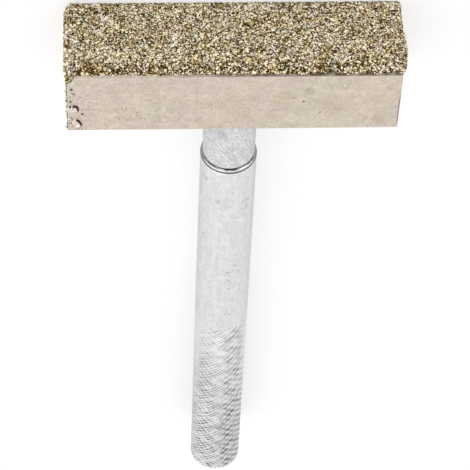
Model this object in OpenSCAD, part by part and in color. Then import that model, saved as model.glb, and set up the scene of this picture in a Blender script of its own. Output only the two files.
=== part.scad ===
// Diamond wheel dresser: a square bar head with a diamond face, on a knurled round handle.
// The tool is drawn upright on the Z axis, with its seat plane (underside of the head) at
// z = 0 and the diamond face on top. It is then laid on its back, as it lies on a bench.

/* [Head bar] */
// Length of the bar, across the wheel
head_length = 45; // [30:0.5:70]
// Front to back size of the bar
head_depth = 12; // [9.6:0.1:20]
// Height of the bar, from its underside to the diamond layer
head_height = 12; // [9:0.1:20]
// Radius of the bar's softened edges
head_edge = 0.3; // [0.1:0.05:1]

/* [Diamond layer] */
// Thickness of the diamond layer
layer_thickness = 1; // [0.5:0.05:2]
// How far the layer stands past each end of the bar
layer_overhang = 0.4; // [0:0.05:1]
// Radius round the layer's upper edge
layer_round = 0.7; // [0.2:0.05:1]
// Distance between neighbouring grains
grain_pitch = 0.6; // [0.5:0.05:1.5]
// Difference between the highest and the lowest grain
grain_relief = 0.25; // [0.05:0.01:0.3]

/* [Handle] */
// Diameter of the handle
handle_diameter = 8; // [6.4:0.1:12]
// Depth to which the neck is turned down, on the radius
neck_step = 0.3; // [0.1:0.05:0.6]
// Length of the neck under the head
neck_length = 12.4; // [4:0.1:25]
// Width of the relief groove at the foot of the neck
groove_width = 0.3; // [0.1:0.05:0.8]
// Depth of the relief groove
groove_depth = 0.12; // [0.05:0.01:0.3]
// Height of the bright chamfer at the top of the handle
shoulder_chamfer = 0.4; // [0.2:0.05:2]
// Length of the plain barrel
plain_length = 40.2; // [10:0.1:80]
// Length of the knurled grip
grip_length = 42; // [15:0.5:90]
// Chamfer at the free end
end_chamfer = 0.4; // [0.2:0.05:1]

/* [Knurl] */
// Number of grooves of each hand
knurl_starts = 17; // [10:1:24]
// Angle of the grooves to the handle's axis
knurl_angle = 44; // [30:1:55]
// Depth of the grooves
knurl_depth = 0.26; // [0.1:0.01:0.5]
// How far the knurl's crests lie below the barrel
knurl_relief = 0.03; // [0.01:0.01:0.1]

/* [Joint] */
// Diameter of the spigot that the head is fixed on
spigot_diameter = 5; // [3:0.1:5.5]
// Length of the spigot inside the head
spigot_length = 7; // [3:0.1:8]
// Bevel at the spigot's end
spigot_bevel = 0.5; // [0.2:0.05:1]
// Brazing gap round the spigot
braze_gap = 0.03; // [0.01:0.01:0.1]
// Free depth past the spigot's end
socket_relief = 0.5; // [0.2:0.1:1]

/* [Hidden] */

$fn = 96;

// Flats along each softened edge of the bar
edge_steps = 4;
// Fixed seed of the grain pattern
grain_seed = 41;
// Share of the pitch by which a grain strays from its place
grain_stray = 0.3;
// How far the grains at the layer's edge may stand back
rim_stray = 0.08;
// Largest share of the layer's thickness that its rounded edge takes
round_share = 0.7;
// Half-way angle of the layer's rounded edge
round_middle = 45;

handle_r = handle_diameter / 2;
neck_r = handle_r - neck_step;
spigot_r = spigot_diameter / 2;
socket_r = spigot_r + braze_gap;
socket_depth = spigot_length + socket_relief;

shoulder_z = -neck_length;
barrel_top_z = shoulder_z - shoulder_chamfer;
grip_top_z = barrel_top_z - plain_length;
handle_end_z = grip_top_z - grip_length;
layer_top_z = head_height + layer_thickness;

crest_r = handle_r - knurl_relief;
root_r = crest_r - knurl_depth;
// Two columns to each groove, so that crests and crossings take turns round the handle
knurl_columns = 2 * knurl_starts;
column_width = 2 * PI * handle_r / knurl_columns;
knurled_length = grip_length - end_chamfer;
knurl_rows = max(4, round(knurled_length * tan(knurl_angle) / column_width));
row_height = knurled_length / knurl_rows;

layer_half_length = head_length / 2 + layer_overhang;
layer_half_depth = head_depth / 2;
layer_edge = min(layer_round, round_share * layer_thickness);

mid_length = (layer_top_z + handle_end_z) / 2;
rest_height = max(head_depth, handle_diameter) / 2;

// Outline of a rectangle centred on the origin, with round corners in short flats
function soft_rectangle(width, height, radius) = [
    for (corner = [0:3])
        let (
            right = corner == 0 || corner == 3 ? 1 : -1,
            up = corner < 2 ? 1 : -1
        )
        for (step = [0:edge_steps])
            let (angle = 90 * (corner + step / edge_steps))
            [
                right * (width / 2 - radius) + radius * cos(angle),
                up * (height / 2 - radius) + radius * sin(angle)
            ]
];

// Grain lines across the layer, each as [place, drop below the top]: the rounded edge, then an
// even row from side to side, then the other rounded edge
function grain_lines(half, edge) =
    let (
        spaces = max(2, round(2 * (half - edge) / grain_pitch)),
        inset = edge * (1 - cos(round_middle)),
        drop = edge * (1 - sin(round_middle))
    )
    [
        [-half, edge],
        [-half + inset, drop],
        for (i = [0:spaces]) [(2 * i / spaces - 1) * (half - edge), 0],
        [half - inset, drop],
        [half, edge]
    ];

// Points of one level ring round the handle's axis
function ring(radius, z) = [
    for (c = [0:knurl_columns - 1])
        let (angle = 360 * c / knurl_columns)
        [radius * cos(angle), radius * sin(angle), z]
];

// One row of the knurl: crossings of two grooves and crests by turns, shifted on every row
function knurl_row(row) = [
    for (c = [0:knurl_columns - 1])
        let (
            angle = 360 * c / knurl_columns,
            radius = (c + row) % 2 == 0 ? root_r : crest_r
        )
        [radius * cos(angle), radius * sin(angle), grip_top_z + (0.5 - row) * row_height]
];

// Triangles between two rings, with the dividing edge along the groove
function knurl_band(row) = [
    for (c = [0:knurl_columns - 1])
        let (
            next = (c + 1) % knurl_columns,
            upper = row * knurl_columns,
            lower = upper + knurl_columns,
            groove_falls = (c + row) % 2 == 1
        )
        each groove_falls
            ? [[upper + c, lower + next, lower + c], [upper + c, upper + next, lower + next]]
            : [[upper + c, upper + next, lower + c], [upper + next, lower + next, lower + c]]
];

// Lays the upright tool on its back, with the middle of its length over the origin
module laid_down() {
    translate([0, -mid_length, rest_height])
        rotate([-90, 0, 0])
            children();
}

// Square bar with every edge softened, standing on the seat plane
module soft_bar() {
    intersection() {
        linear_extrude(head_height)
            polygon(soft_rectangle(head_length, head_depth, head_edge));
        translate([-head_length / 2, 0, head_height / 2])
            rotate([90, 0, 90])
                linear_extrude(head_length)
                    polygon(soft_rectangle(head_depth, head_height, head_edge));
        translate([0, head_depth / 2, head_height / 2])
            rotate([90, 0, 0])
                linear_extrude(head_depth)
                    polygon(soft_rectangle(head_length, head_height, head_edge));
    }
}

// Nickel-plated steel bar, with a blind socket for the handle's spigot
module head_bar() {
    color("#d3c4b0")
        laid_down()
            difference() {
                soft_bar();
                translate([0, 0, -1])
                    cylinder(h = socket_depth + 1, r = socket_r);
            }
}

// Plated diamond grit: a flat-bottomed slab whose upper face is a field of uneven grains
module diamond_layer() {
    lines_x = grain_lines(layer_half_length, layer_edge);
    lines_y = grain_lines(layer_half_depth, layer_edge);
    last_x = len(lines_x) - 1;
    last_y = len(lines_y) - 1;
    across = last_y + 1;
    grains = (last_x + 1) * across;
    stray_x = rands(-1, 1, grains, grain_seed);
    stray_y = rands(-1, 1, grains, grain_seed + 1);
    dip = rands(0, 1, grains, grain_seed + 2);

    // A grain on the rim may stand a little back, those on the rounded edge keep their place,
    // and any other strays both ways
    function strayed(place, half, stray) =
        abs(place) == half
            ? sign(place) * (half - rim_stray * abs(stray))
            : abs(place) >= half - layer_edge
                ? place
                : place + grain_stray * grain_pitch * stray;

    upper = [
        for (i = [0:last_x]) for (j = [0:last_y])
            let (
                n = i * across + j,
                drop = max(lines_x[i][1], lines_y[j][1]),
                on_rim = drop == layer_edge
            )
            [
                strayed(lines_x[i][0], layer_half_length, stray_x[n]),
                strayed(lines_y[j][0], layer_half_depth, stray_y[n]),
                layer_top_z - drop - (on_rim ? 0 : grain_relief * dip[n])
            ]
    ];
    // Walk round the rim, anticlockwise from above
    rim = [
        for (i = [0:last_x - 1]) i * across,
        for (j = [0:last_y - 1]) last_x * across + j,
        for (i = [last_x:-1:1]) i * across + last_y,
        for (j = [last_y:-1:1]) j
    ];
    lower = [for (n = rim) [upper[n].x, upper[n].y, head_height]];
    centre = [0, 0, head_height];
    round_rim = len(rim);
    centre_index = grains + round_rim;

    top_faces = [
        for (i = [0:last_x - 1]) for (j = [0:last_y - 1])
            let (a = i * across + j, b = a + across)
            each [[a, b + 1, b], [a, a + 1, b + 1]]
    ];
    side_faces = [
        for (k = [0:round_rim - 1])
            let (next = (k + 1) % round_rim)
            each [
                [rim[k], rim[next], grains + k],
                [rim[next], grains + next, grains + k]
            ]
    ];
    under_faces = [
        for (k = [0:round_rim - 1])
            [grains + k, grains + (k + 1) % round_rim, centre_index]
    ];

    color("#a5977a")
        laid_down()
            polyhedron(
                points = concat(upper, lower, [centre]),
                faces = concat(top_faces, side_faces, under_faces)
            );
}

// Diamond-knurled grip. Its first rows lie inside the barrel, and the last ring is the end chamfer
module knurled_grip() {
    end_r = root_r - end_chamfer;
    rings = knurl_rows + 3;
    tucked_ring = ring(root_r, grip_top_z + row_height);
    points = concat(
        tucked_ring,
        [for (row = [0:knurl_rows]) each knurl_row(row)],
        ring(end_r, handle_end_z)
    );
    top_cap = [for (c = [knurl_columns - 1:-1:0]) c];
    end_cap = [for (c = [0:knurl_columns - 1]) (rings - 1) * knurl_columns + c];
    polyhedron(
        points = points,
        faces = concat(
            [top_cap, end_cap],
            [for (row = [0:rings - 2]) each knurl_band(row)]
        )
    );
}

// Spigot, neck, shoulder and plain barrel, turned in one
module turned_shank() {
    rotate_extrude()
        polygon([
            [0, spigot_length],
            [spigot_r - spigot_bevel, spigot_length],
            [spigot_r, spigot_length - spigot_bevel],
            [spigot_r, 0],
            [neck_r, 0],
            [neck_r, shoulder_z + groove_width],
            [neck_r - groove_depth, shoulder_z + groove_width],
            [neck_r - groove_depth, shoulder_z],
            [neck_r, shoulder_z],
            [handle_r, barrel_top_z],
            [handle_r, grip_top_z],
            [0, grip_top_z]
        ]);
}

// Steel handle: one turned and knurled piece
module handle() {
    color("#d9dadb")
        laid_down()
            union() {
                turned_shank();
                knurled_grip();
            }
}

head_bar();
diamond_layer();
handle();
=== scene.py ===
"""Looks of a diamond wheel dresser: a plated bar with a diamond grit face, on a knurled steel handle.

The script works in millimetres, and points become metres when a mesh is made. The tool lies on its
back: X runs along the bar, Y along the handle towards the diamond face, and Z up from the floor.
"""

import math

import bpy
import numpy as np
from mathutils import Matrix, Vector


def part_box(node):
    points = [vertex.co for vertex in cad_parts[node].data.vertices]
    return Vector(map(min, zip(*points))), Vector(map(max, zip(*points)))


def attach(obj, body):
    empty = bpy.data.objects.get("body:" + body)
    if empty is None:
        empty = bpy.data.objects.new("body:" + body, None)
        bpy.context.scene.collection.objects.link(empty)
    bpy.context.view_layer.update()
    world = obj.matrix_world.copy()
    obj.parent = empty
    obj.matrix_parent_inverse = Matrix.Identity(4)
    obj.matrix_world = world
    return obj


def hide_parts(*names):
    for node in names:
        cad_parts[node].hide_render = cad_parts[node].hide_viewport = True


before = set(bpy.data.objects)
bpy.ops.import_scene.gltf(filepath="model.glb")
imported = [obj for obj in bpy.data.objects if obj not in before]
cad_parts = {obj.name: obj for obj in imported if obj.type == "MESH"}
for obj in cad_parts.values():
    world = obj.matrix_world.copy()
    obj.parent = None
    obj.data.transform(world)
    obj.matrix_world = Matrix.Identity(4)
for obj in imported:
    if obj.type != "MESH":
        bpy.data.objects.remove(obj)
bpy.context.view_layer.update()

# Sizes, in millimetres, and the knurl's counts

MM = 0.001


def box_mm(node):
    """Lowest and highest corner of a solid, in millimetres."""
    low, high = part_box(node)
    return np.array(low) / MM, np.array(high) / MM


BAR_LOW, BAR_HIGH = box_mm("head_bar")
LAYER_LOW, LAYER_HIGH = box_mm("diamond_layer")
HANDLE_LOW, HANDLE_HIGH = box_mm("handle")

SEAT_Y = BAR_LOW[1]
FRONT_Z = BAR_HIGH[2]
AXIS_Z = (HANDLE_LOW[2] + HANDLE_HIGH[2]) / 2
HANDLE_R = (HANDLE_HIGH[0] - HANDLE_LOW[0]) / 2
HANDLE_LENGTH = SEAT_Y - HANDLE_LOW[1]
SPIGOT_LENGTH = HANDLE_HIGH[1] - SEAT_Y

SPIGOT_R = 2.5
SPIGOT_BEVEL = 0.5
NECK_R = 3.7
NECK_LENGTH = 12.4
FILLET = 0.6
RELIEF_WIDTH = 0.3
RELIEF_R = 3.58
CHAMFER_LENGTH = 0.4
PLAIN_LENGTH = 40.2
END_CHAMFER = 0.4
END_BREAK = 0.12
KNURL_STARTS = 17
KNURL_ROWS = 54
FALLING_DEPTH = 0.16
RISING_DEPTH = 0.26
DOUBLE_DEPTH = 0.20
KNURL_RELIEF = 0.03

LAYER_EDGE = 0.7
GRAIN_SPACING = 0.172
GRAIN_R = 0.175


# Meshes

def random_waves(across, along, size, seed, count=24):
    """Sum of plane waves of about the given length, in random directions, with a spread of about 1."""
    rng = np.random.default_rng(seed)
    turn = rng.uniform(0, 2 * np.pi, count)
    pace = 2 * np.pi / (size * rng.uniform(0.6, 1.7, count))
    start = rng.uniform(0, 2 * np.pi, count)
    travel = np.multiply.outer(across, pace * np.cos(turn)) + np.multiply.outer(along, pace * np.sin(turn))
    return np.cos(travel + start).sum(-1) * math.sqrt(2 / count)


def smooth_step(value, low, high):
    """Rises from 0 at low to 1 at high, level at both ends."""
    share = np.clip((value - low) / (high - low), 0, 1)
    return share * share * (3 - 2 * share)


def facing_out(points, triangles):
    """Turns the triangles round if they enclose a negative volume."""
    first, second, third = (points[triangles[:, corner]] for corner in range(3))
    volume = np.einsum("ij,ij->i", first, np.cross(second, third)).sum()
    return triangles if volume > 0 else triangles[:, ::-1]


def ring_triangles(rings, spokes):
    """Triangles of a closed shell of rings of points.

    The rings come first in the list of points, then the pole before the first and the one after the last."""
    spoke, ring = np.meshgrid(np.arange(spokes), np.arange(rings - 1))
    here = ring * spokes + spoke
    beside = ring * spokes + (spoke + 1) % spokes
    first = np.arange(spokes)
    last = (rings - 1) * spokes + first
    start = np.full(spokes, rings * spokes)
    end = start + 1
    parts = (
        (here, beside, here + spokes), (beside, beside + spokes, here + spokes),
        (start, np.roll(first, -1), first), (end, last, np.roll(last, -1)),
    )
    return np.concatenate([np.stack(corners, -1).reshape(-1, 3) for corners in parts])


def add_piece(name, points, triangles, material, crease=None):
    """Makes a mesh object of millimetre points and triangles, which rides on the tool.

    Without a crease angle its faces are flat, and with one only edges sharper than that are."""
    points = np.asarray(points, float).reshape(-1, 3)
    triangles = np.ascontiguousarray(triangles, np.int32)
    mesh = bpy.data.meshes.new(name)
    mesh.vertices.add(len(points))
    mesh.vertices.foreach_set("co", (points * MM).astype(np.float32).ravel())
    mesh.loops.add(triangles.size)
    mesh.loops.foreach_set("vertex_index", triangles.ravel())
    mesh.polygons.add(len(triangles))
    mesh.polygons.foreach_set("loop_start", np.arange(0, triangles.size, 3, dtype=np.int32))
    mesh.polygons.foreach_set("use_smooth", np.full(len(triangles), crease is not None))
    mesh.update(calc_edges=True)
    mesh.validate()
    if crease is not None:
        mesh.set_sharp_from_angle(angle=math.radians(crease))
    mesh.materials.append(material)
    piece = bpy.data.objects.new(name, mesh)
    bpy.context.scene.collection.objects.link(piece)
    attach(piece, "root")
    return piece


def add_values(piece, name, values, domain="POINT"):
    """Stores one number or one colour for each vertex or each face."""
    values = np.asarray(values, np.float32)
    if values.ndim == 1:
        piece.data.attributes.new(name, "FLOAT", domain).data.foreach_set("value", values)
        return
    colour = np.concatenate([values, np.ones((len(values), 1), np.float32)], axis=1)
    piece.data.attributes.new(name, "FLOAT_COLOR", domain).data.foreach_set("color", colour.ravel())


# Materials

def grey(value):
    """Neutral colour of the given lightness."""
    return (value, value, value)


class Finish:
    """A procedural material under construction: one Principled shader, and nodes that feed it."""

    def __init__(self, name, **values):
        """Names the material, and sets constant values on the shader's sockets."""
        self.material = bpy.data.materials.new(name)
        self.material.use_nodes = True
        self.tree = self.material.node_tree
        self.shader = self.tree.nodes["Principled BSDF"]
        for socket, value in values.items():
            self.shader.inputs[socket.replace("_", " ")].default_value = value

    def node(self, kind, inputs=(), **settings):
        """Adds a node, with its settings, and feeds its inputs in order; None leaves one alone."""
        made = self.tree.nodes.new(kind)
        for key, value in settings.items():
            setattr(made, key, value)
        pairs = inputs.items() if isinstance(inputs, dict) else enumerate(inputs)
        for key, value in pairs:
            if value is None:
                continue
            if isinstance(value, bpy.types.NodeSocket):
                self.tree.links.new(value, made.inputs[key])
            else:
                made.inputs[key].default_value = value
        return made

    def place(self):
        """Object coordinates of the point that is shaded."""
        return self.node("ShaderNodeTexCoord").outputs["Object"]

    def split(self, place):
        """The three coordinates of a place."""
        return self.node("ShaderNodeSeparateXYZ", (place,)).outputs[:]

    def stored(self, name, output="Fac"):
        """A value that the mesh keeps for each vertex or face."""
        return self.node("ShaderNodeAttribute", attribute_name=name).outputs[output]

    def math(self, operation, first, second=None):
        """One step of arithmetic on sockets and numbers."""
        return self.node("ShaderNodeMath", (first, second), operation=operation).outputs[0]

    def times(self, first, second):
        """Product of two values."""
        return self.math("MULTIPLY", first, second)

    def most(self, first, second):
        """The larger of two values."""
        return self.math("MAXIMUM", first, second)

    def noise(self, place, size, detail=2.0, rough=0.5):
        """Noise whose patches are about the given size in millimetres."""
        inputs = {"Vector": place, "Scale": 1 / (size * MM), "Detail": detail, "Roughness": rough}
        return self.node("ShaderNodeTexNoise", inputs).outputs["Fac"]

    def stretch(self, place, scale, turn=0.0):
        """The place at which a pattern is read, to stretch the pattern along the axes and turn it round Z."""
        inputs = {"Vector": place, "Rotation": (0.0, 0.0, turn), "Scale": scale}
        return self.node("ShaderNodeMapping", inputs, vector_type="TEXTURE").outputs[0]

    def ramp(self, value, low, high, start=0.0, end=1.0):
        """Moves low to high on to start to end, smoothly, and stops there."""
        inputs = {"Value": value, 1: low, 2: high, 3: start, 4: end}
        made = self.node("ShaderNodeMapRange", inputs, interpolation_type="SMOOTHSTEP")
        return made.outputs[0]

    def ramp_mm(self, value, low, high, start=0.0, end=1.0):
        """The same ramp along a coordinate, with its limits in millimetres."""
        return self.ramp(value, low * MM, high * MM, start, end)

    def band(self, value, low, high, soft):
        """1 from low to high, in millimetres, and 0 outside, with soft limits."""
        rise = self.ramp_mm(value, low - soft, low + soft)
        fall = self.ramp_mm(value, high - soft, high + soft, 1.0, 0.0)
        return self.times(rise, fall)

    def spot(self, place, centre, radius):
        """1 near a point and 0 beyond a radius, both in millimetres."""
        centre = tuple(value * MM for value in centre)
        away = self.node("ShaderNodeVectorMath", (place, centre), operation="DISTANCE").outputs["Value"]
        return self.ramp_mm(away, 0.5 * radius, radius, 1.0, 0.0)

    def specks(self, place, spacing, radius, share, flat=False):
        """Small round dots in a share of the cells of a loose lattice, sizes in millimetres.

        Flat dots run straight through in Z, for a side that looks up."""
        inputs = {"Vector": place, "Scale": 1 / (spacing * MM)}
        cells = self.node("ShaderNodeTexVoronoi", inputs, voronoi_dimensions="2D" if flat else "3D")
        dot = self.ramp(cells.outputs["Distance"], 0.5 * radius / spacing, radius / spacing, 1.0, 0.0)
        chosen = self.math("LESS_THAN", self.split(cells.outputs["Color"])[0], share)
        return self.times(dot, chosen)

    def scratch(self, place, start, end, width):
        """1 along a straight line seen from above, from one point to another, and 0 beyond its width."""
        ahead = np.subtract(end, start)[:2]
        length = np.linalg.norm(ahead)
        ahead = ahead / length
        x, y, _ = self.split(place)
        x = self.math("SUBTRACT", x, start[0] * MM)
        y = self.math("SUBTRACT", y, start[1] * MM)
        along = self.math("ADD", self.times(x, ahead[0]), self.times(y, ahead[1]))
        aside = self.math("SUBTRACT", self.times(x, ahead[1]), self.times(y, ahead[0]))
        line = self.band(aside, -width / 2, width / 2, width / 2)
        return self.times(line, self.band(along, 0.0, length, 0.5))

    def mix(self, share, base, coat, blend="MIX"):
        """Mixes two colours by a share from 0 to 1."""
        made = self.node("ShaderNodeMix", data_type="RGBA", blend_type=blend)
        for key, value in ((0, share), (6, base), (7, coat)):
            if isinstance(value, bpy.types.NodeSocket):
                self.tree.links.new(value, made.inputs[key])
            else:
                made.inputs[key].default_value = value if key == 0 else (*value, 1.0)
        return made.outputs[2]

    def shade(self, tint, share, low, high):
        """Multiplies a colour by a grey that goes from low to high with a share from 0 to 1."""
        return self.mix(1.0, tint, self.mix(share, grey(low), grey(high)), "MULTIPLY")

    def bump(self, height, depth, strength=1.0, under=None):
        """Bump of the given depth in millimetres for heights from 0 to 1."""
        inputs = {"Strength": strength, "Distance": depth * MM, "Height": height, "Normal": under}
        return self.node("ShaderNodeBump", inputs).outputs[0]

    def feed(self, **links):
        """Links values to the shader's sockets."""
        for socket, value in links.items():
            self.tree.links.new(value, self.shader.inputs[socket.replace("_", " ")])


# Soft marks on the bar's face: centre, radius and the colour that it is multiplied by
TARNISH = (
    ((19.7, 43.1, FRONT_Z), 1.1, (0.90, 0.86, 0.74)),
    ((10.1, 49.3, FRONT_Z), 0.9, (0.76, 0.74, 0.72)),
    ((6.6, 47.4, FRONT_Z), 2.2, (0.94, 0.91, 0.84)),
    ((0.5, 46.3, FRONT_Z), 3.2, (0.96, 0.93, 0.90)),
    ((-11.5, 50.3, FRONT_Z), 2.0, (0.97, 0.93, 0.90)),
    ((13.5, 46.0, FRONT_Z), 2.6, (0.96, 0.92, 0.90)),
)
# Small stains on the bar's face: centre, radius and colour
STAINS = (
    ((-21.95, 47.5, FRONT_Z), 0.36, (0.42, 0.34, 0.17)),
    ((-21.8, 50.1, FRONT_Z), 0.28, (0.06, 0.04, 0.012)),
    ((-21.5, 49.1, FRONT_Z), 0.28, (0.30, 0.18, 0.05)),
    ((-21.75, 42.13, FRONT_Z), 0.20, (0.40, 0.34, 0.28)),
    ((14.9, 50.5, FRONT_Z), 0.50, (0.50, 0.42, 0.34)),
    ((14.85, 50.5, FRONT_Z), 0.34, (0.80, 0.71, 0.62)),
    ((9.4, 47.1, FRONT_Z), 0.22, (0.12, 0.09, 0.06)),
    ((11.7, 44.7, FRONT_Z), 0.20, (0.20, 0.15, 0.11)),
    ((8.1, 47.9, FRONT_Z), 0.20, (0.38, 0.31, 0.24)),
    ((-20.4, 44.75, FRONT_Z), 0.28, (0.16, 0.10, 0.05)),
)

# Where the pits, the dark right edge and the dark seam under the grit come in along the bar. The seam is
# residue and painted shade of the overhanging grains
PITS_X = (-6, -12)
PITS_Y = (51, 47)
RIGHT_EDGE_Y = (41.8, 48.0)
SEAM_SHADE_X = (-14, 4)
PIT_BROWN = (0.30, 0.24, 0.16)
EDGE_BROWN = (0.17, 0.13, 0.09)
SEAM_SHADE_BROWN = (0.12, 0.085, 0.055)


def plated_nickel():
    """Warm satin nickel plate: cloudy pink to straw tint, mottling, dark pits, edges and stains, and a seam
    under the grit that is partly painted shade.
    """
    plate = Finish("plated_nickel", Metallic=1.0, Specular_Tint=(0.8, 0.8, 0.8, 1.0))
    place = plate.place()
    x, y, z = plate.split(place)
    on_front = plate.ramp_mm(z, FRONT_Z - 0.15, FRONT_Z - 0.05)
    cloud = plate.noise(place, 5.0, 3.0)
    mottle = plate.noise(place, 0.9, 4.0, 0.65)
    grain = plate.noise(place, 0.22, 2.0, 0.6)
    tint = plate.mix(plate.ramp(cloud, 0.38, 0.62), (0.695, 0.597, 0.512), (0.685, 0.603, 0.497))
    streaks = plate.noise(plate.stretch(place, (10.0, 1.0, 1.0)), 0.5, 3.0)
    tint = plate.shade(tint, plate.ramp(streaks, 0.3, 0.7), 0.97, 1.02)
    tint = plate.shade(tint, plate.ramp(plate.noise(place, 2.6, 2.0), 0.35, 0.65), 0.96, 1.03)
    tint = plate.shade(tint, plate.ramp(mottle, 0.25, 0.75), 0.87, 1.09)
    tint = plate.shade(tint, plate.ramp(grain, 0.25, 0.75), 0.89, 1.08)
    turned = plate.stretch(place, (1.0, 1.0, 1.0), turn=0.5)
    wide_pits = plate.specks(place, 0.50, 0.15, 0.16, flat=True)
    small_pits = plate.specks(turned, 0.37, 0.12, 0.10, flat=True)
    pits = plate.times(plate.most(wide_pits, small_pits), on_front)
    pits = plate.times(pits, plate.ramp(plate.noise(place, 1.8, 2.0), 0.40, 0.56))
    pits = plate.times(pits, plate.ramp_mm(x, *PITS_X, 0.45, 0.9))
    pits = plate.times(pits, plate.ramp_mm(y, *PITS_Y, 0.4, 1.0))
    pits = plate.most(pits, plate.times(plate.specks(place, 0.9, 0.13, 0.4), 0.5))
    tint = plate.mix(pits, tint, PIT_BROWN)
    left_edge = plate.band(x, BAR_LOW[0] - 0.3, BAR_LOW[0] + 0.10, 0.06)
    right_edge = plate.band(x, BAR_HIGH[0] - 0.20, BAR_HIGH[0] + 0.3, 0.06)
    right_edge = plate.times(right_edge, plate.band(y, *RIGHT_EDGE_Y, 1.0))
    near_front = plate.ramp_mm(z, FRONT_Z - 0.6, FRONT_Z - 0.2)
    ends = plate.times(plate.most(left_edge, right_edge), near_front)
    ends = plate.times(ends, plate.ramp(mottle, 0.30, 0.50, 0.35, 0.9))
    tint = plate.mix(ends, tint, EDGE_BROWN)
    # A dark brown line along the face's top edge: residue, and painted shade under the overhanging grains
    seam_shade = plate.times(plate.band(y, BAR_HIGH[1] - 0.46, BAR_HIGH[1] + 0.3, 0.10), near_front)
    seam_shade = plate.times(seam_shade, plate.ramp_mm(x, *SEAM_SHADE_X, 0.25, 1.0))
    seam_shade = plate.times(seam_shade, plate.ramp(plate.noise(place, 1.5, 3.0), 0.40, 0.60, 0.65, 1.0))
    seam_shade = plate.times(seam_shade, plate.ramp(mottle, 0.30, 0.50, 0.65, 0.95))
    tint = plate.mix(seam_shade, tint, SEAM_SHADE_BROWN)
    for centre, radius, shift in TARNISH:
        mark = plate.times(plate.spot(place, centre, radius), plate.ramp(mottle, 0.35, 0.55))
        tint = plate.mix(mark, tint, shift, "MULTIPLY")
    for centre, radius, stain in STAINS:
        tint = plate.mix(plate.spot(place, centre, radius), tint, stain)
    rough = plate.ramp(mottle, 0.3, 0.7, 0.36, 0.46)
    peel = plate.bump(plate.noise(place, 0.9, 3.0), 0.03)
    plate.feed(Base_Color=tint, Roughness=rough, Normal=plate.bump(grain, 0.02, under=peel))
    return plate.material


def blistered_nickel():
    """The same plate where it has lifted: pale inside, partly as a painted highlight, and dark brown where it
    has torn, as burn and painted crevice shade.
    """
    plate = Finish("blistered_nickel", Metallic=0.9, Roughness=0.35)
    place = plate.place()
    mottle = plate.noise(place, 0.25, 3.0, 0.6)
    # Pale inside, partly as a painted highlight, with darker mottling
    tint = plate.mix(plate.ramp(mottle, 0.40, 0.58), (0.50, 0.39, 0.31), (0.96, 0.90, 0.85))
    tint = plate.mix(plate.stored("crevice_shade_and_burn"), tint, (0.05, 0.028, 0.012))
    plate.feed(Base_Color=tint, Normal=plate.bump(mottle, 0.05))
    return plate.material


def shaded_nickel_bond():
    """Rough nickel between the diamonds, painted dark brown as the shade in the gaps between them."""
    bond = Finish("shaded_nickel_bond", Metallic=0.0, Roughness=0.7, Specular_IOR_Level=0.1)
    place = bond.place()
    patches = bond.noise(place, 0.5, 3.0)
    tint = bond.mix(bond.ramp(patches, 0.3, 0.7), (0.08, 0.055, 0.015), (0.24, 0.18, 0.075))
    bond.feed(Base_Color=tint, Normal=bond.bump(bond.noise(place, 0.15), 0.05))
    return bond.material


def diamond_crystal():
    """Clear to olive diamond crystals, each facet of its own stored colour with painted glints and shade;
    some flash like a mirror.
    """
    diamond = Finish("diamond_crystal", Roughness=0.25, Specular_IOR_Level=0.08)
    diamond.feed(Base_Color=diamond.stored("facet_tint_and_glint", "Color"), Metallic=diamond.stored("facet_flash"))
    return diamond.material


SHOULDER_Y = SEAT_Y - NECK_LENGTH
GRIP_START = NECK_LENGTH + CHAMFER_LENGTH + PLAIN_LENGTH

# Dirt on the barrel: centres and radii of speckled and of smudged places, and the ends of one scratch
SPECK_CLUSTERS = (
    ((1.6, 5.2, 9.7), 0.8), ((1.7, 3.2, 9.6), 0.9), ((0.4, 3.0, 10.0), 0.8), ((0.7, 0.8, 9.9), 1.0),
    ((1.0, -0.7, 9.9), 0.7), ((1.2, -4.2, 9.8), 0.8), ((1.0, -7.5, 9.9), 0.9),
)
SMUDGES = (
    ((-3.4, 25.0, 8.0), 1.0), ((2.5, 20.6, 9.1), 0.9), ((2.6, 18.9, 9.0), 0.9), ((-1.6, 21.0, 9.7), 0.7),
    ((-3.2, 11.0, 8.4), 0.8),
)
SCRATCH = ((-2.15, 19.9, 9.4), (0.77, 12.4, 9.9))
SCRATCH_WIDTH = 0.14

# A dull place and a place of painted glints on the neck, and the black arcs of painted shade round its foot
# from side to side
NECK_SHADOW = ((-1.4, 36.5, 9.4), 1.8)
NECK_GLINTS = ((2.6, 34.1, 8.6), 1.8)
MIDDLE_ARC = (-0.8, 1.3)
RIGHT_ARC = (2.6, 3.6)
LEFT_ARC = (-3.8, -1.4)
CREVICE_SHADE_BLACK = (0.03, 0.03, 0.03)
RIM_BURR_AND_REFLECTION_BLACK = (0.08, 0.08, 0.085)


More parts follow.
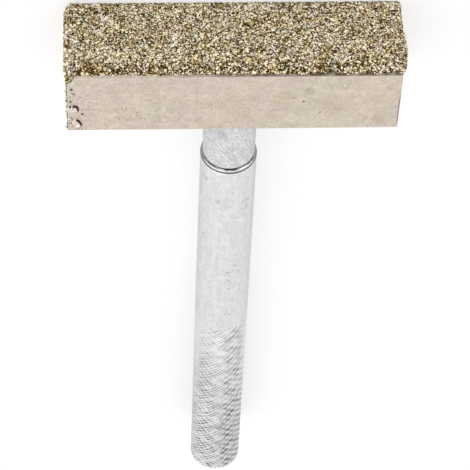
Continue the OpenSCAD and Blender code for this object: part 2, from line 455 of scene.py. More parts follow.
def turned_steel():
    """Pale satin steel: grainy neck, a chamfer painted bright between dark lines of painted shade and
    reflection, smooth barrel, and dirt and painted shade in the knurl.
    """
    steel = Finish("turned_steel", Metallic=1.0, Specular_Tint=(0.72, 0.72, 0.72, 1.0))
    place = steel.place()
    x, y, z = steel.split(place)
    fine = steel.noise(place, 0.30, 3.0, 0.6)
    blotch = steel.noise(place, 0.8, 4.0, 0.6)
    drawn = steel.noise(steel.stretch(place, (1.0, 10.0, 1.0)), 0.45, 3.0)

    on_neck = steel.ramp_mm(y, SHOULDER_Y + 0.3, SHOULDER_Y + 0.4)
    on_grip = steel.ramp_mm(y, SEAT_Y - GRIP_START + 0.5, SEAT_Y - GRIP_START - 0.5)
    crevice = steel.band(y, SHOULDER_Y, SHOULDER_Y + RELIEF_WIDTH, 0.03)
    bright = steel.band(y, SHOULDER_Y - 0.75 * CHAMFER_LENGTH, SHOULDER_Y, 0.02)
    rim = steel.band(y, SHOULDER_Y - CHAMFER_LENGTH - 0.16, SHOULDER_Y - 0.70 * CHAMFER_LENGTH, 0.03)

    barrel = steel.shade(grey(0.79), steel.ramp(blotch, 0.3, 0.7), 0.91, 1.04)
    barrel = steel.shade(barrel, steel.ramp(drawn, 0.3, 0.7), 0.95, 1.04)
    upper = steel.ramp_mm(z, AXIS_Z + 1.5, AXIS_Z + 2.0)
    dots = steel.times(steel.specks(place, 0.42, 0.15, 0.65, flat=True), upper)
    for centre, radius in SPECK_CLUSTERS:
        barrel = steel.mix(steel.times(dots, steel.spot(place, centre, radius)), barrel, grey(0.40))
    loose = steel.times(steel.specks(place, 1.3, 0.15, 0.4, flat=True), upper)
    barrel = steel.mix(steel.times(loose, 0.55), barrel, grey(0.45))
    for centre, radius in SMUDGES:
        smudge = steel.times(steel.spot(place, centre, radius), steel.ramp(drawn, 0.42, 0.58, 0.1, 0.7))
        barrel = steel.mix(smudge, barrel, grey(0.50))
    scratch = steel.times(steel.scratch(place, *SCRATCH, SCRATCH_WIDTH), 0.30)
    barrel = steel.mix(scratch, barrel, grey(0.45))

    neck = steel.mix(steel.ramp(fine, 0.3, 0.7), (0.60, 0.603, 0.606), (0.80, 0.803, 0.806))
    neck = steel.shade(neck, steel.ramp(blotch, 0.3, 0.7), 0.90, 1.08)
    scuffs = steel.noise(steel.stretch(place, (1.0, 5.0, 1.0), turn=0.5), 0.35, 3.0, 0.65)
    neck = steel.shade(neck, steel.ramp(scuffs, 0.38, 0.62), 0.87, 1.09)
    neck = steel.mix(steel.specks(place, 1.3, 0.20, 0.4), neck, grey(0.95))
    # Painted shadow: the neck darkens towards the bar's underside
    neck = steel.shade(neck, steel.ramp_mm(y, SEAT_Y - 1.2, SEAT_Y), 1.0, 0.82)
    neck = steel.shade(neck, steel.spot(place, *NECK_SHADOW), 1.0, 0.86)
    glints = steel.times(steel.spot(place, *NECK_GLINTS), steel.ramp(fine, 0.52, 0.62))
    neck = steel.mix(glints, neck, grey(0.97))

    # The knurl's grooves are painted dark, as dirt and as the shade in them, and more so towards the end; its
    # sides are darkened as painted shade
    falling, rising, shaded_sides = steel.split(steel.stored("grooves", "Vector"))
    toward_end = steel.ramp_mm(y, SEAT_Y - GRIP_START, SEAT_Y - HANDLE_LENGTH + 8.0, 0.62, 1.0)
    patchy = steel.times(toward_end, steel.ramp(steel.noise(place, 1.6, 3.0), 0.36, 0.60, 0.40, 1.0))
    rising = steel.times(rising, patchy)
    falling = steel.times(steel.times(falling, patchy), 0.75)
    grip = steel.shade(grey(0.89), steel.ramp(blotch, 0.3, 0.7), 0.93, 1.04)
    grip = steel.shade(grip, toward_end, 1.02, 0.99)
    grip = steel.shade(grip, shaded_sides, 1.0, 0.80)
    grip = steel.mix(falling, grip, grey(0.20))
    grip = steel.mix(rising, grip, grey(0.10))

    tint = steel.mix(on_neck, barrel, neck)
    tint = steel.mix(on_grip, tint, grip)
    # The chamfer is painted near white, partly for its polish and partly as a painted highlight
    tint = steel.mix(bright, tint, grey(0.94))
    # Painted shade: black arcs in the crevice at the neck's foot and in the relief groove
    inner_shade = steel.band(y, SHOULDER_Y - 0.40 * CHAMFER_LENGTH, SHOULDER_Y + 0.2, 0.05)
    arcs = steel.most(steel.band(x, *MIDDLE_ARC, 0.5), steel.band(x, *RIGHT_ARC, 0.4))
    arcs = steel.most(arcs, steel.times(steel.band(x, *LEFT_ARC, 0.5), 0.7))
    inner_shade = steel.times(steel.times(inner_shade, arcs), steel.ramp(blotch, 0.34, 0.46, 0.3, 1.0))
    gap_shade = steel.times(crevice, steel.ramp_mm(x, -3.2, 0.5, 0.80, 1.0))
    gap_shade = steel.times(gap_shade, steel.ramp(blotch, 0.36, 0.50, 0.55, 1.0))
    tint = steel.mix(steel.most(gap_shade, steel.times(inner_shade, 0.9)), tint, CREVICE_SHADE_BLACK)
    # Painted dark reflection on the chamfer's sides, and a dark rim line at its outer edge, partly a burr and
    # partly painted reflection
    sides = steel.band(steel.math("ABSOLUTE", x), 3.35, 9.0, 0.35)
    outer = steel.times(steel.band(y, SHOULDER_Y - CHAMFER_LENGTH, SHOULDER_Y, 0.04), sides)
    rim = steel.times(steel.most(rim, steel.times(outer, 0.8)), 0.92)
    tint = steel.mix(rim, tint, RIM_BURR_AND_REFLECTION_BLACK)

    rough = steel.math("ADD", steel.ramp(drawn, 0.3, 0.7, 0.30, 0.40), steel.times(on_grip, 0.06))
    rough = steel.times(rough, steel.ramp(bright, 0.0, 1.0, 1.0, 0.4))
    coarse = steel.times(fine, steel.ramp(on_neck, 0.0, 1.0, 0.10, 1.0))
    relief = steel.bump(coarse, 0.06, under=steel.bump(drawn, 0.006))
    steel.feed(Base_Color=tint, Roughness=rough, Normal=relief)
    return steel.material


# Handle

FINE_STEPS = 6
COLUMNS = 2 * KNURL_STARTS * FINE_STEPS
GRIP_LENGTH = HANDLE_LENGTH - GRIP_START
ROW_HEIGHT = (GRIP_LENGTH - END_CHAMFER) / KNURL_ROWS
GROOVE_FLOOR = 0.10
GROOVE_FLANK = 0.60
NICK_TURN = math.radians(275)
NICK_WIDTH = 0.045
NICK_DEPTH = 0.30

# Rows of points on the neck and the barrel, how far before the grip the barrel's last row and the first
# fine row lie, the fillet's width to its length, and the rings on the end face as shares of its radius
NECK_ROWS = 14
BARREL_ROWS = 40
BARREL_LEAD = 0.6
GRIP_LEAD = 0.5
FILLET_SPREAD = 0.3
FACE_RINGS = (0.85, 0.55, 0.25)

# Stretches of the grip over which a change comes in, as distances from the grip's start
FAINT_SPAN = (2, 18)
EARLY_SPAN = (5, 15)
MET_SPAN = (8, 22)
FAR_SPAN = (5, GRIP_LENGTH - 12)
RUB_SPAN = (GRIP_LENGTH - 0.8, GRIP_LENGTH - 0.2)
NICK_SPAN = (GRIP_LENGTH - 0.8, GRIP_LENGTH)


def from_even(place):
    """Distance from the nearest even number, 0 to 1."""
    return np.abs((place + 1) % 2 - 1)


def groove(place):
    """Depth of a groove at each even number: a narrow flat floor, a straight flank and a flat crest."""
    return 1 - np.clip((from_even(place) - GROOVE_FLOOR) / GROOVE_FLANK, 0, 1)


def wave(place):
    """Smooth wave, 1 at each even number and 0 at each odd one."""
    return 0.5 + 0.5 * np.cos(np.pi * place)


def tracks(section, place, double):
    """A family of grooves of one section, single or with twice as many tracks."""
    return (1 - double) * section(place) + double * section(2 * place)


def past(distance, span):
    """Rises from 0 to 1 over a stretch of the grip, given by its distances from the grip's start."""
    return smooth_step(distance, GRIP_START + span[0], GRIP_START + span[1])


def handle_rows():
    """Turned profile as rows of distance from the seat and radius.

    Also returns each row's place in the knurl, and 1 for the rows that are knurled."""
    top = -SPIGOT_LENGTH
    foot = NECK_LENGTH
    barrel_top = foot + CHAMFER_LENGTH
    fillet = [(FILLET * t, NECK_R + FILLET_SPREAD * FILLET * (1 - t) ** 2) for t in np.linspace(0, 1, 5)]
    neck = np.linspace(FILLET, foot - RELIEF_WIDTH, NECK_ROWS)[1:]
    barrel = np.linspace(barrel_top, GRIP_START - BARREL_LEAD, BARREL_ROWS)[1:]
    turned = [
        (top, SPIGOT_R - SPIGOT_BEVEL), (top + SPIGOT_BEVEL, SPIGOT_R), (0, SPIGOT_R), *fillet,
        *((distance, NECK_R) for distance in neck),
        (foot - RELIEF_WIDTH, RELIEF_R), (foot, RELIEF_R), (foot, NECK_R), (barrel_top, HANDLE_R),
        *((distance, HANDLE_R) for distance in barrel),
    ]
    first = 0.5 - GRIP_LEAD / ROW_HEIGHT
    last = (GRIP_LENGTH - END_BREAK) / ROW_HEIGHT + 0.5
    steps = np.arange(math.ceil(first * FINE_STEPS), math.floor(last * FINE_STEPS) + 1) / FINE_STEPS
    grip = np.stack([GRIP_START + (steps - 0.5) * ROW_HEIGHT, np.full(len(steps), HANDLE_R)], axis=1)
    end = [(HANDLE_LENGTH, HANDLE_R - END_BREAK)]
    face = [(HANDLE_LENGTH, HANDLE_R * share) for share in FACE_RINGS]
    rows = np.concatenate([np.array(turned), grip, np.array(end + face)])
    lattice = np.concatenate([np.zeros(len(turned)), steps, [last], np.zeros(len(face))])
    knurled = np.concatenate([np.zeros(len(turned)), np.ones(len(steps) + 1), np.zeros(len(face))])
    return rows, lattice, knurled


def turned_handle():
    """One surface of revolution round the handle's axis.

    The radius is the turned profile, less two crossing families of helical grooves on the grip. A point's
    distance to a groove is that of column minus row, for a falling groove, or of column plus row, for a
    rising one, from the nearest even number. Underneath both families are whole, and make diamonds.
    Above, the rolling tool slipped by half a step, so the rising grooves are twice as many and shallower
    except on the right, and the falling ones in the middle. Those are faint at the upper right and come
    early on the left, and both families are rubbed at the sides and the end.

    Stored for the steel are how dark the falling and the rising grooves are painted, as dirt and as the shade
    in them, and how far the sides are darkened as painted shade."""
    rows, lattice, knurled = handle_rows()
    knurled = knurled[:, None]
    column = np.arange(COLUMNS)
    angle = (2 * np.pi * column / COLUMNS)[None, :]
    rightward = np.cos(angle)
    downward = np.sin(angle)
    distance = rows[:, 0][:, None] + 0 * angle
    wave_x = HANDLE_R * rightward + distance
    wave_y = HANDLE_R * downward - 0.6 * distance
    column_place = (column / FINE_STEPS)[None, :] + 0.03 * random_waves(wave_x, wave_y, 3.0, 6)
    row_place = lattice[:, None] + 0.03 * random_waves(wave_x, wave_y, 2.0, 7)
    falling_place = column_place - row_place
    rising_place = column_place + row_place

    slip = 0.08 * random_waves(wave_x, wave_y, 2.5, 8)
    under = smooth_step(downward, 0.05, 0.40)
    right = smooth_step(rightward + slip, 0.10, 0.45) * (1 - under)
    left = smooth_step(-rightward + slip, 0.15, 0.55) * (1 - under)
    rising_double = 1 - right - under
    falling_double = rising_double * (1 - left)
    met = past(distance, MET_SPAN)
    farther = past(distance, FAR_SPAN)
    early = smooth_step(-rightward, 0.0, 0.3) - smooth_step(-rightward, 0.5, 0.8)
    early = early * (1 - under) * (1 - past(distance, EARLY_SPAN))

    ragged = 0.25 * random_waves(rightward * HANDLE_R, downward * HANDLE_R, 1.2, 5)
    rubbed = smooth_step(-rightward, 0.70, 0.95) + smooth_step(rightward, 0.72, 0.95)
    rubbed = rubbed * (1 - under)
    weight = knurled * smooth_step(distance - GRIP_START - ragged, -0.3, 0.8)
    weight = weight * np.clip(0.9 + 0.25 * random_waves(wave_x, wave_y, 1.5, 9), 0.3, 1.1)
    weight = weight * (1 - 0.7 * rubbed * (1 - 0.8 * farther))
    weight = weight * (1 - 0.55 * left * (1 - past(distance, FAINT_SPAN)))
    weight = weight * (1 - 0.6 * past(distance, RUB_SPAN))

    share = rising_double * (0.50 + 0.40 * left) + right * (0.20 + 0.60 * met) + under
    falling = weight * share * tracks(groove, falling_place, falling_double)
    rising = weight * tracks(groove, rising_place, rising_double)
    falling_depth = FALLING_DEPTH * (1 - under) + RISING_DEPTH * under
    rising_depth = DOUBLE_DEPTH * rising_double * (1 - 0.3 * left) + RISING_DEPTH * (1 - rising_double)
    cut = np.maximum(falling_depth * falling, rising_depth * rising)
    nick = NICK_DEPTH * np.exp(-((angle - NICK_TURN) / NICK_WIDTH) ** 2)
    nick = nick * knurled * past(distance, NICK_SPAN)
    radius = rows[:, 1][:, None] - weight * KNURL_RELIEF - cut - nick
    grid = np.stack([radius * rightward, SEAT_Y - distance, AXIS_Z - radius * downward], axis=-1)
    poles = np.array([[0, SEAT_Y + SPIGOT_LENGTH, AXIS_Z], [0, SEAT_Y - HANDLE_LENGTH, AXIS_Z]])
    points = np.concatenate([grid.reshape(-1, 3), poles])
    triangles = facing_out(points, ring_triangles(len(rows), COLUMNS))
    piece = add_piece("turned_handle", points, triangles, turned_steel(), crease=60)
    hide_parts("handle")

    # How dark the grooves are painted, as dirt and as the shade in them, and how far the sides are darkened
    # as painted shade
    crossing = tracks(wave, falling_place, falling_double)
    dashed = 0.6 + 0.15 * left - 0.2 * right * (1 - met) - 0.4 * under
    strength = 1.5 * (1 + 0.4 * right * (1 - met)) * (1 - 0.15 * left)
    lines = tracks(wave, rising_place, rising_double) * (1 - dashed * (1 - crossing))
    lines = np.clip(strength * (1 - 0.5 * early) * weight * lines, 0, 1)
    crossing = np.maximum((share - 0.30 * left) * crossing, early * wave(falling_place))
    bead = (1 - 0.80 * wave(falling_place)) * (1 - wave(rising_place))
    beaded = right * met
    lines = lines * (1 - beaded) + beaded * weight * (1 - smooth_step(bead, 0.0, 0.5))
    crossing = crossing * (1 - 0.7 * beaded)
    side_shade = weight * (right * farther + 0.9 * left * (1 - farther))
    stored = np.stack([weight * crossing, lines, side_shade], axis=-1).reshape(-1, 3)
    add_values(piece, "grooves", np.concatenate([stored, np.zeros((len(poles), 3))]))


# Diamond layer

LAYER_MID_Z = (LAYER_LOW[2] + LAYER_HIGH[2]) / 2
LAYER_HALF = np.array([LAYER_HIGH[0], LAYER_HIGH[2] - LAYER_MID_Z])
FLAT_HALF = LAYER_HALF - LAYER_EDGE
QUARTER_ROUND = LAYER_EDGE * np.pi / 2

# Shape of the right end's bulge and of the worn left back corner
BULGE = 0.42
BULGE_Z = 8.0
BULGE_WIDTH = 2.6
WORN_CORNER = 0.9
WORN_WIDTH = 0.8
END_BLEND = 0.6

# How far the bed and the sheet of grains reach down past the rounded edge, and how deep they are sunk
BED_HALF = FLAT_HALF + QUARTER_ROUND + 0.3
SHEET_HALF = FLAT_HALF + QUARTER_ROUND + 0.8
BED_STEP = 0.24
BED_SUNK = 0.20
GRAIN_SUNK = 0.16
SIDE_LIFT = 0.14

# Places, form and lightness of the crystals, where a lightness of 1 is white
GRAIN_SEED = 31
GRAIN_STRAY = 0.35
GRAIN_FLATTENING = 0.65
FLOOR_CLEARANCE = 0.01
GLINT_SHARE = 0.05
GRAIN_LEVEL = 0.622
GRAIN_SPREAD = 0.33
FACET_GLINT_SPREAD = 0.55
FLASH_LEVEL = 1.05
SCREEN_GAMMA = 2.2


def wrap_on_layer(x, z, sunk):
    """Lays a flat sheet over the layer, sunk below its skin by some depth.

    Past the flat top, the way beyond the edge is followed round a quarter circle, then straight down.
    The right end bulges by a bell curve, and the left back corner is set in by another.
    Returns the points and the outward normals."""
    radius = LAYER_EDGE - sunk
    flat = np.stack([
        np.clip(x, -FLAT_HALF[0], FLAT_HALF[0]), np.clip(z, -FLAT_HALF[1], FLAT_HALF[1])], axis=-1)
    over = np.stack([x, z], axis=-1) - flat
    way = np.abs(over).max(-1)
    length = np.maximum(np.linalg.norm(over, axis=-1), 1e-9)
    outward = over / length[..., None]
    turn = np.minimum(way / LAYER_EDGE, np.pi / 2)
    down = np.maximum(way - QUARTER_ROUND, 0)
    plan = flat + outward * (radius * np.sin(turn))[..., None]
    height = LAYER_HIGH[1] - LAYER_EDGE + radius * np.cos(turn) - down
    points = np.stack([plan[..., 0], height, LAYER_MID_Z + plan[..., 1]], axis=-1)
    right_end = smooth_step(points[..., 0], FLAT_HALF[0] - END_BLEND, FLAT_HALF[0] + END_BLEND)
    left_end = smooth_step(-points[..., 0], FLAT_HALF[0] - END_BLEND, FLAT_HALF[0] + END_BLEND)
    bulge = BULGE * right_end * np.exp(-((points[..., 2] - BULGE_Z) / BULGE_WIDTH) ** 2)
    worn_back = WORN_CORNER * left_end * np.exp(-((points[..., 2] / WORN_WIDTH) ** 2))
    points[..., 0] += bulge + worn_back
    lean = outward * np.sin(turn)[..., None]
    normals = np.stack([lean[..., 0], np.cos(turn), lean[..., 1]], axis=-1)
    return points, normals


def bond_bed():
    """Rough nickel bed: a sheet wrapped on the layer, raised by random waves, and closed underneath."""
    xs = np.linspace(-BED_HALF[0], BED_HALF[0], int(2 * BED_HALF[0] / BED_STEP))
    zs = np.linspace(-BED_HALF[1], BED_HALF[1], int(2 * BED_HALF[1] / BED_STEP))
    x, z = np.meshgrid(xs, zs, indexing="ij")
    points, normals = wrap_on_layer(x, z, BED_SUNK)
    rough = 0.04 * random_waves(x, z, 0.7, 11) + 0.03 * random_waves(x, z, 2.5, 12)
    rough[[0, -1], :] = 0
    rough[:, [0, -1]] = 0
    points = points + normals * rough[..., None]
    number = np.arange(x.size).reshape(x.shape)
    here = number[:-1, :-1]
    beside = number[1:, :-1]
    opposite = number[1:, 1:]
    above = number[:-1, 1:]
    halves = ((here, opposite, beside), (here, above, opposite))
    top = np.concatenate([np.stack(corners, -1).reshape(-1, 3) for corners in halves])
    rim = np.concatenate([number[:-1, 0], number[-1, :-1], number[:0:-1, -1], number[0, :0:-1]])
    centre = np.array([[0, points[0, 0, 1], LAYER_MID_Z]])
    under = np.stack([rim, np.roll(rim, -1), np.full(len(rim), x.size)], axis=1)
    all_points = np.concatenate([points.reshape(-1, 3), centre])
    triangles = facing_out(all_points, np.concatenate([top, under]))
    piece = add_piece("bond_bed", all_points, triangles, shaded_nickel_bond(), crease=60)
    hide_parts("diamond_layer")


def crystal():
    """Corners and triangles of an octahedron, the common form of a diamond."""
    corners = np.array([(1, 0, 0), (-1, 0, 0), (0, 1, 0), (0, -1, 0), (0, 0, 1), (0, 0, -1)], float)
    triangles = np.array([
        (0, 2, 4), (2, 1, 4), (1, 3, 4), (3, 0, 4), (2, 0, 5), (1, 2, 5), (3, 1, 5), (0, 3, 5)])
    return corners, triangles


def random_turns(count, rng):
    """Rotation matrices from random unit quaternions."""
    turns = rng.normal(size=(4, count))
    w, x, y, z = turns / np.linalg.norm(turns, axis=0)
    return np.stack([
        np.stack([1 - 2 * (y * y + z * z), 2 * (x * y - z * w), 2 * (x * z + y * w)], -1),
        np.stack([2 * (x * y + z * w), 1 - 2 * (x * x + z * z), 2 * (y * z - x * w)], -1),
        np.stack([2 * (x * z - y * w), 2 * (y * z + x * w), 1 - 2 * (x * x + y * y)], -1),
    ], -2)


def facet_tints(level, warm, olive, facets, rng):
    """Colour of each facet from the lightness of its grain, and of the facet by chance as painted glint and
    shade, and which flash.

    On the screen's scale red lies a fixed step above green, and blue a wider step below it that narrows
    in pale facets, so that those are cream and dark ones brown. Warm grains lean to rust, olive to green."""
    lightness = level[:, None] + rng.normal(0, FACET_GLINT_SPREAD, (len(level), facets))
    flash = lightness > FLASH_LEVEL
    green = np.clip(lightness, 0.14, 0.92) + 0.05 * np.clip(2 * lightness - 2.6, 0, 1)
    warm = warm[:, None]
    olive = olive[:, None]
    red = green + 0.078 + 0.022 * warm - 0.012 * olive
    blue = 1.17 * green - 0.270 - 0.024 * warm - 0.028 * olive
    return np.clip(np.stack([red, green, blue], axis=-1), 0.03, 0.99) ** SCREEN_GAMMA, flash


def crystal_field(name, centres, normals, radius, tone, rng):
    """A piece of crystals: one at each centre, stretched by up to a quarter each way and turned at random.

    Each is then flattened along its normal, as wear and plating leave it."""
    corners, triangles = crystal()
    count = len(centres)
    stretch = rng.uniform(0.8, 1.25, (count, 1, 3)) * radius[:, None, None]
    shapes = np.einsum("gij,gvj->gvi", random_turns(count, rng), corners[None] * stretch)
    height = np.einsum("gvi,gi->gv", shapes, normals)
    points = shapes - GRAIN_FLATTENING * height[..., None] * normals[:, None, :] + centres[:, None, :]
    points[..., 2] = np.maximum(points[..., 2], FLOOR_CLEARANCE)
    offset = (np.arange(count) * len(corners))[:, None, None]
    all_triangles = (triangles[None] + offset).reshape(-1, 3)
    piece = add_piece(name, points, all_triangles, diamond_crystal())
    tints, flash = facet_tints(*tone, len(triangles), rng)
    add_values(piece, "facet_tint_and_glint", tints.reshape(-1, 3), "FACE")
    add_values(piece, "facet_flash", flash.ravel(), "FACE")


def diamond_grains():
    """Crystals on a jittered triangular grid, wrapped on the layer and half sunk in the bed.

    Those near the front edge are larger, and painted darker as the shade where the edge turns down, and a
    few, by chance, are large and high, and painted bright as glints."""
    rng = np.random.default_rng(GRAIN_SEED)
    xs = np.arange(-SHEET_HALF[0], SHEET_HALF[0], GRAIN_SPACING)
    zs = np.arange(-SHEET_HALF[1], SHEET_HALF[1], GRAIN_SPACING * math.sqrt(3) / 2)
    x, z = np.meshgrid(xs, zs)
    x = x + (np.arange(len(zs)) % 2 * GRAIN_SPACING / 2)[:, None]
    x = x.ravel() + rng.uniform(-GRAIN_STRAY, GRAIN_STRAY, x.size) * GRAIN_SPACING
    z = z.ravel() + rng.uniform(-GRAIN_STRAY, GRAIN_STRAY, z.size) * GRAIN_SPACING
    beyond = np.hypot(np.maximum(np.abs(x) - FLAT_HALF[0], 0), np.maximum(np.abs(z) - FLAT_HALF[1], 0))
    hang = rng.uniform(-0.25, 0.15, x.size) + rng.exponential(0.12, x.size)
    keep = beyond < QUARTER_ROUND + hang
    x = x[keep]
    z = z[keep]
    sunk = GRAIN_SUNK - SIDE_LIFT * smooth_step(np.abs(z) - FLAT_HALF[1], 0.3, 1.0)
    centres, normals = wrap_on_layer(x, z, sunk)
    centres = centres + normals * rng.normal(0, 0.035, x.size).clip(-0.1, 0.10)[:, None]
    front = smooth_step(z - FLAT_HALF[1], -1.2, 0.3)
    radius = GRAIN_R * np.exp(rng.normal(0, 0.16, x.size)).clip(0.7, 1.35) * (1 + 0.12 * front)
    patch = 0.025 * random_waves(x, z, 3.0, 21) + 0.02 * random_waves(x, z, 1.3, 24)
    warm = (0.8 * random_waves(x, z, 2.0, 22) + 0.6 * random_waves(x, z, 5.0, 23)).clip(-0.6, 2.5)
    olive = 0.3 + 0.8 * random_waves(x, z, 1.6, 25) + 0.5 * random_waves(x, z, 4.0, 26)
    olive = olive.clip(-0.6, 2.5)
    bright = rng.random(x.size) < GLINT_SHARE
    radius = radius * (1 + 0.22 * bright)
    centres = centres + normals * (0.06 * bright)[:, None]
    # Painted shade darkens the grains on the front edge, and painted glints brighten a few at random
    level = GRAIN_LEVEL + patch + rng.normal(0, GRAIN_SPREAD, x.size) - 0.26 * front + 0.9 * bright
    level = level - 0.04 * (warm + olive)
    crystal_field("diamond_grains", centres, normals, radius, (level, warm, olive), rng)


# Stray grit and blisters on the bar

STRAY_SEED = 41
STRAY_REACH = 11.5
END_GRAINS = 60
EDGE_GRAINS = 60
CORNER_GRAINS = 140
SINGLE_GRAINS = ((-22.0, 47.3, FRONT_Z), (-20.4, 44.75, FRONT_Z), (-22.05, 41.0, FRONT_Z - 0.3))


def stray_grains():
    """Crystals that were plated on to the bar's left end and its corner, beyond the diamond layer."""
    rng = np.random.default_rng(STRAY_SEED)
    left = BAR_LOW[0]
    top = BAR_HIGH[1]
    down = rng.exponential(1.8, END_GRAINS).clip(0, STRAY_REACH)
    end_face = np.stack([
        np.full(END_GRAINS, left), top - down, rng.uniform(0.3, FRONT_Z - 0.2, END_GRAINS)], axis=1)
    front_edge = np.stack([
        rng.normal(left + 0.04, 0.08, EDGE_GRAINS), top - rng.uniform(1.0, STRAY_REACH, EDGE_GRAINS),
        rng.normal(FRONT_Z - 0.18, 0.08, EDGE_GRAINS)], axis=1)
    lower = rng.uniform(-0.2, 1, CORNER_GRAINS)
    inward = np.abs(rng.normal(0, 0.7, CORNER_GRAINS)) * (1 - 0.8 * lower)
    corner = np.stack([
        left - 0.05 + inward, top - 1.5 * lower, rng.normal(FRONT_Z - 0.03, 0.05, CORNER_GRAINS)], axis=1)
    groups = ((end_face, 0.8), (front_edge, 0.7), (corner, 1.0), (np.array(SINGLE_GRAINS), 0.9))
    centres = np.concatenate([group for group, size in groups])
    sizes = np.concatenate([np.full(len(group), size) for group, size in groups])
    radius = rng.uniform(0.15, 0.23, len(centres)) * sizes
    level = rng.normal(0.45, 0.12, len(centres))
    warm = rng.normal(0.5, 0.4, len(centres))
    normals = np.tile((0.0, 0.0, 1.0), (len(centres), 1))
    crystal_field("stray_grains", centres, normals, radius, (level, warm, warm), rng)


# Each blister's centre on the bar's face, radius, height, share that is darkened as burn and painted crevice
# shade, and turn of its black spot
BLISTERS = (
    ((-21.66, 45.80), 0.82, 0.26, 1.0, 2.2), ((-21.25, 42.70), 0.80, 0.26, 1.0, 1.01),
    ((-22.05, 43.5), 0.36, 0.20, 0.5, 4.0), ((-22.1, 42.5), 0.28, 0.16, 0.4, 3.0),
    ((-20.9, 44.1), 0.30, 0.10, 0.3, 0.5),
    ((-21.78, 51.4), 0.34, 0.14, 0.0, 0.0), ((-21.95, 49.2), 0.22, 0.12, 0.4, 0.0),
)
BLISTER_SEED = 51
BLISTER_RINGS = 13
BLISTER_SPOKES = 40
BLISTER_STRETCH = 1.25
LIP_PLACE = 0.7
LIP_WIDTH = 0.17
DOME_SHARE = 0.25
SHELL_SUNK = 0.03
FOOT_SUNK = 0.06
TORN_SIDE = math.radians(20)


def plating_blisters():
    """Burst blisters of the plate: each is a wavy oval patch with a raised lip and a shallow bowl inside.

    The height over the face is a bell curve round the lip, at seven tenths of the radius, plus a low
    dome. The parts darkened as burn and painted crevice shade are the lip's right side, and one black spot
    further round it."""
    share = np.linspace(0, 1, BLISTER_RINGS + 1)[1:, None]
    angle = np.linspace(0, 2 * np.pi, BLISTER_SPOKES, endpoint=False)[None, :]
    lip = np.exp(-((share - LIP_PLACE) / LIP_WIDTH) ** 2)
    torn_side = np.cos(angle - TORN_SIDE)
    torn = smooth_step(torn_side, 0.0, 0.5) * smooth_step(share, 0.56, 0.74)
    shell_triangles = ring_triangles(BLISTER_RINGS, BLISTER_SPOKES)
    rng = np.random.default_rng(BLISTER_SEED)
    shells = []
    triangles = []
    crevice_shade_and_burn = []
    for (centre_x, centre_y), radius, height, darkened, black_turn in BLISTERS:
        start = rng.uniform(0, 2 * np.pi, 2)
        wavy = 1 + 0.12 * np.cos(2 * angle + start[0]) + 0.06 * np.cos(5 * angle + start[1])
        x = centre_x + radius * wavy * share * np.cos(angle)
        y = centre_y + BLISTER_STRETCH * radius * wavy * share * np.sin(angle)
        lift = height * (lip * (0.75 + 0.25 * torn_side) + DOME_SHARE * (1 - share ** 2))
        z = FRONT_Z - SHELL_SUNK + lift
        z[-1] = FRONT_Z - FOOT_SUNK
        crown = (centre_x, centre_y, FRONT_Z - SHELL_SUNK + DOME_SHARE * height)
        foot = (centre_x, centre_y, FRONT_Z - FOOT_SUNK)
        shell = np.concatenate([np.stack([x, y, z], -1).reshape(-1, 3), [crown, foot]])
        triangles.append(facing_out(shell - shell.mean(0), shell_triangles) + len(shells) * len(shell))
        shells.append(shell)
        black = smooth_step(np.cos(angle - black_turn), 0.95, 0.98) * smooth_step(share, 0.35, 0.55)
        crevice_shade_and_burn.append(np.append(darkened * np.maximum(torn, black).reshape(-1), [0, 0]))
    piece = add_piece("plating_blisters", np.concatenate(shells), np.concatenate(triangles),
                      blistered_nickel(), crease=50)
    add_values(piece, "crevice_shade_and_burn", np.concatenate(crevice_shade_and_burn))


# Stage, light and camera

FLOOR_HALF = 1500.0
FLOOR_GLOW = 0.46
WORLD_LIGHT = 0.92
KEY_PLACE = (-370, -85, 460)
KEY_SIZE = 560
KEY_POWER = 0.42
CAMERA_FROM_SEAT = np.array([-16.7, 299.6, 239.8])
CAMERA_DIP = math.radians(35.14)
CAMERA_SWING = math.radians(4.46)
CAMERA_ROLL = math.radians(3.0)
FOCAL_PIXELS = 2762.0
IMAGE_PIXELS = 470.0
SENSOR_MM = 36.0


def seen_ray(tree):
    """1 on rays from the camera and in reflections and glass, and 0 on rays that only carry light."""
    path = tree.nodes.new("ShaderNodeLightPath")
    total = path.outputs["Is Camera Ray"]
    for kind in ("Is Glossy Ray", "Is Transmission Ray"):
        either = tree.nodes.new("ShaderNodeMath")
        either.operation = "MAXIMUM"
        tree.links.new(total, either.inputs[0])
        tree.links.new(path.outputs[kind], either.inputs[1])
        total = either.outputs[0]
    return total


def pale_floor():
    """Wide floor at the tool's rest plane: one grey square, which glows up to white where it is seen."""
    paint = Finish("pale_floor", Base_Color=(0.6, 0.6, 0.6, 1.0), Roughness=0.9,
                   Emission_Color=(1.0, 1.0, 1.0, 1.0))
    paint.feed(Emission_Strength=paint.times(seen_ray(paint.tree), FLOOR_GLOW))
    corners = np.array([[-1, -1, 0], [1, -1, 0], [1, 1, 0], [-1, 1, 0]]) * FLOOR_HALF * MM
    mesh = bpy.data.meshes.new("floor")
    mesh.from_pydata(corners.tolist(), [], [(0, 1, 2, 3)])
    mesh.materials.append(paint.material)
    floor = bpy.data.objects.new("floor", mesh)
    bpy.context.scene.collection.objects.link(floor)


def soft_lamp(name, place, size, power):
    """Square lamp of the given size in millimetres, which faces the middle of the tool."""
    lamp = bpy.data.lights.new(name, "AREA")
    lamp.size = size * MM
    lamp.energy = power
    holder = bpy.data.objects.new(name, lamp)
    place = np.array(place) * MM
    back = place / np.linalg.norm(place)
    side = np.cross((0.0, 1.0, 0.0), back)
    side = side / np.linalg.norm(side)
    pose = np.eye(4)
    pose[:3, :3] = np.column_stack([side, np.cross(back, side), back])
    pose[:3, 3] = place
    holder.matrix_world = Matrix(pose.tolist())
    bpy.context.scene.collection.objects.link(holder)


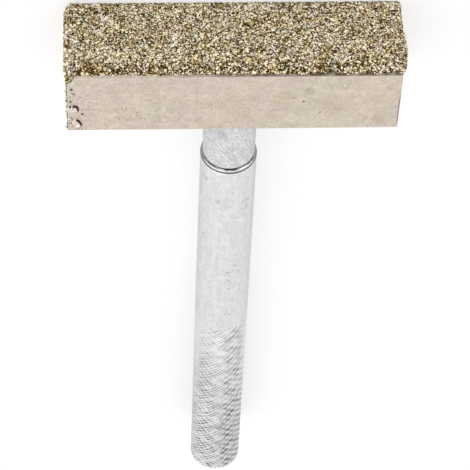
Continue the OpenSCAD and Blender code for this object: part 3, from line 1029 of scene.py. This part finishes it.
def studio_light():
    """White surroundings, a little brighter to the camera and in reflections, and one soft lamp."""
    world = bpy.data.worlds.new("studio")
    world.use_nodes = True
    tree = world.node_tree
    strength = tree.nodes.new("ShaderNodeMapRange")
    tree.links.new(seen_ray(tree), strength.inputs["Value"])
    strength.inputs["To Min"].default_value = WORLD_LIGHT
    strength.inputs["To Max"].default_value = 1.0
    background = tree.nodes["Background"]
    background.inputs["Color"].default_value = (1, 1, 1, 1)
    tree.links.new(strength.outputs[0], background.inputs["Strength"])
    bpy.context.scene.world = world
    soft_lamp("key", KEY_PLACE, KEY_SIZE, KEY_POWER)


def photo_camera():
    """Camera on the diamond side, looking down at the tool, turned so that the bar is at the top."""
    drop = math.sin(CAMERA_DIP)
    ahead = np.array([
        math.sin(CAMERA_SWING) * drop, -math.cos(CAMERA_DIP), -math.cos(CAMERA_SWING) * drop])
    right = np.array([math.cos(CAMERA_SWING), 0.0, math.sin(CAMERA_SWING)])
    up = np.cross(right, ahead)
    rolled_right = math.cos(CAMERA_ROLL) * right + math.sin(CAMERA_ROLL) * up
    rolled_up = math.cos(CAMERA_ROLL) * up - math.sin(CAMERA_ROLL) * right
    pose = np.eye(4)
    pose[:3, :3] = np.column_stack([rolled_right, rolled_up, -ahead])
    pose[:3, 3] = (CAMERA_FROM_SEAT + (0, SEAT_Y, 0)) * MM
    camera = bpy.data.cameras.new("photo_camera")
    camera.sensor_width = SENSOR_MM
    camera.lens = FOCAL_PIXELS / IMAGE_PIXELS * SENSOR_MM
    camera.clip_start = 0.01
    holder = bpy.data.objects.new("photo_camera", camera)
    holder.matrix_world = Matrix(pose.tolist())
    bpy.context.scene.collection.objects.link(holder)
    bpy.context.scene.camera = holder


def dress_bar():
    """Gives the bar's own solid its plated finish."""
    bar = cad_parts["head_bar"]
    bar.data.materials.clear()
    bar.data.materials.append(plated_nickel())


dress_bar()
turned_handle()
bond_bed()
diamond_grains()
stray_grains()
plating_blisters()
pale_floor()
studio_light()
photo_camera()
bpy.context.scene.view_settings.view_transform = "Standard"
